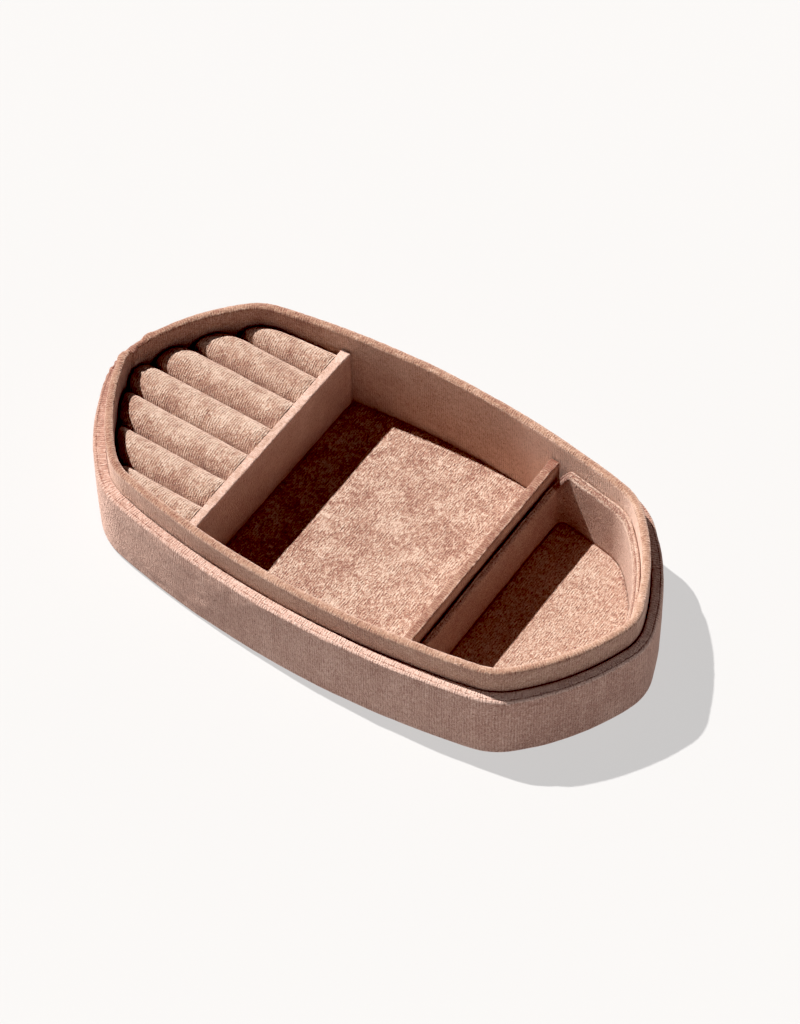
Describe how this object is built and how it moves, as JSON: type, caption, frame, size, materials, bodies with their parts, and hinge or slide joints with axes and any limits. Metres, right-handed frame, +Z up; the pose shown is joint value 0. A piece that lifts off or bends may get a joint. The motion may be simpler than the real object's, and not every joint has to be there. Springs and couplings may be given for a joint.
{
  "type": "jewellery ring box base",
  "caption": "Velvet ring box base with a stepped neck for a lift-off lid, padded ring rolls, an open compartment and a lift-out tray.",
  "frame": {"origin": "on the table, under the middle of the box", "axes": "+X along the box towards the drop-in tray, +Y across the box, +Z up through the open top"},
  "size_m": [0.207, 0.1102, 0.0381],
  "materials": {
    "dusty_rose_velvet": "matte",
    "base_lining_cloth": "matte",
    "grey_board": "matte",
    "thin_card": "matte",
    "roll_foam": "matte"
  },
  "bodies": {
    "box": {"base_board": "grey_board", "base_lining": "base_lining_cloth", "floor_card": "thin_card", "floor_velvet": "dusty_rose_velvet", "left_divider_board": "grey_board", "left_divider_velvet": "dusty_rose_velvet", "neck_board": "grey_board", "neck_velvet": "dusty_rose_velvet", "outer_wall_board": "grey_board", "outer_wall_velvet": "dusty_rose_velvet", "right_divider_board": "grey_board", "right_divider_velvet": "dusty_rose_velvet", "ring_base_card": "thin_card", "ring_roll_foam_1": "roll_foam", "ring_roll_foam_2": "roll_foam", "ring_roll_foam_3": "roll_foam", "ring_roll_foam_4": "roll_foam", "ring_roll_foam_5": "roll_foam", "ring_roll_foam_6": "roll_foam", "ring_roll_foam_7": "roll_foam", "ring_roll_velvet_1": "dusty_rose_velvet", "ring_roll_velvet_2": "dusty_rose_velvet", "ring_roll_velvet_3": "dusty_rose_velvet", "ring_roll_velvet_4": "dusty_rose_velvet", "ring_roll_velvet_5": "dusty_rose_velvet", "ring_roll_velvet_6": "dusty_rose_velvet", "ring_roll_velvet_7": "dusty_rose_velvet"},
    "tray": {"tray_floor_board": "grey_board", "tray_floor_velvet": "dusty_rose_velvet", "tray_wall_board": "grey_board", "tray_wall_velvet": "dusty_rose_velvet"}
  },
  "joints": [
    {"name": "tray_lift", "type": "slide", "parent": "box", "child": "tray", "axis": [0, 0, 1], "range_m": [0, 0.05]}
  ]
}
